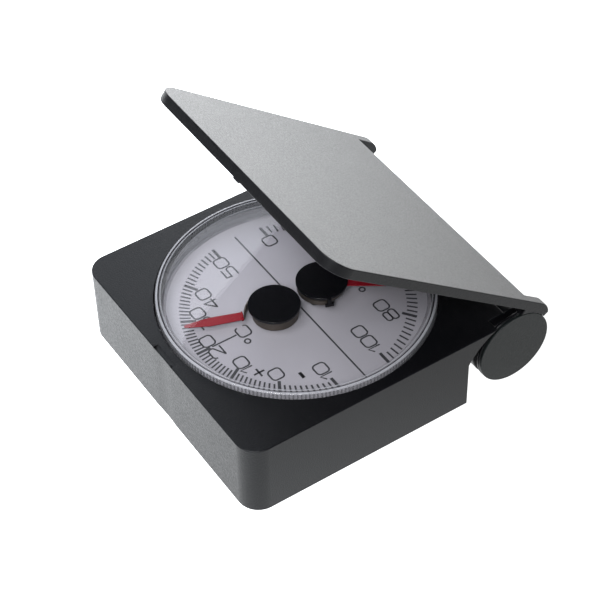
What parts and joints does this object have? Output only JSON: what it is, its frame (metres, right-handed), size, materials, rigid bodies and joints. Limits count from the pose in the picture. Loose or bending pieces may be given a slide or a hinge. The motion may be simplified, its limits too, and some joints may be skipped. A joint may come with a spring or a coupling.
{
  "type": "folding thermo-hygrometer",
  "caption": "Pocket case with a round dial under a clear lens, temperature above and humidity below, and a flip lid on a wide barrel hinge at its rear.",
  "frame": {"origin": "under the centre of the dial, on the flat back that the case lies on", "axes": "+X to the dial's right along the hinge, +Y to the dial's top and away from the hinge, +Z out of the dial"},
  "size_m": [0.06, 0.0689, 0.0538],
  "materials": {
    "case_plastic": "black satin ABS with a fine grain",
    "cover_plastic": "black satin ABS",
    "lid_plastic": "black satin ABS with a fine grain",
    "cap_plastic": "black satin ABS",
    "cup_plastic": "grey moulding",
    "dial_metal": "silver satin lacquer with black print",
    "clear_lens": "clear moulded styrene",
    "post_brass": "turned",
    "coil_metal": "rolled bimetal strip",
    "hub_gloss": "gloss black",
    "pointer_red": "red paint",
    "bush_plastic": "natural acetal",
    "screw_steel": "zinc plated",
    "spring_steel": "tempered"
  },
  "bodies": {
    "case": {"case_body": "case_plastic", "back_cover": "cover_plastic", "cover_screws": "screw_steel", "instrument_cup": "cup_plastic", "cup_screws": "screw_steel", "dial_plate": "dial_metal", "lens": "clear_lens", "thermometer_post": "post_brass", "thermometer_hub": "hub_gloss", "hygrometer_post": "post_brass", "hinge_bush_left": "bush_plastic", "hinge_bush_right": "bush_plastic", "spring_washer_left": "spring_steel", "spring_washer_right": "spring_steel"},
    "lid": {"lid": "lid_plastic", "hinge_cap_left": "cap_plastic", "hinge_cap_right": "cap_plastic"},
    "thermometer_hand": {"thermometer_pointer": "pointer_red", "thermometer_coil": "coil_metal"},
    "hygrometer_hand": {"hygrometer_pointer": "pointer_red", "hygrometer_hub": "hub_gloss", "hygrometer_coil": "coil_metal"}
  },
  "joints": [
    {"name": "lid_hinge", "type": "hinge", "parent": "case", "child": "lid", "pos_m": [0, -0.0306, 0.0087], "axis": [1, 0, 0], "range_deg": [-37.6, 232.4]},
    {"name": "temperature", "type": "hinge", "parent": "case", "child": "thermometer_hand", "pos_m": [0, 0.0051, 0.0134], "axis": [0, 0, -1], "range_deg": [-110.1, 69.9], "stiffness_Nm_per_rad": 0.00005, "deforming": ["thermometer_coil"]},
    {"name": "humidity", "type": "hinge", "parent": "case", "child": "hygrometer_hand", "pos_m": [0, -0.0059, 0.0134], "axis": [0, 0, -1], "range_deg": [-124.2, 55.8], "stiffness_Nm_per_rad": 0.00005, "deforming": ["hygrometer_coil"]}
  ]
}
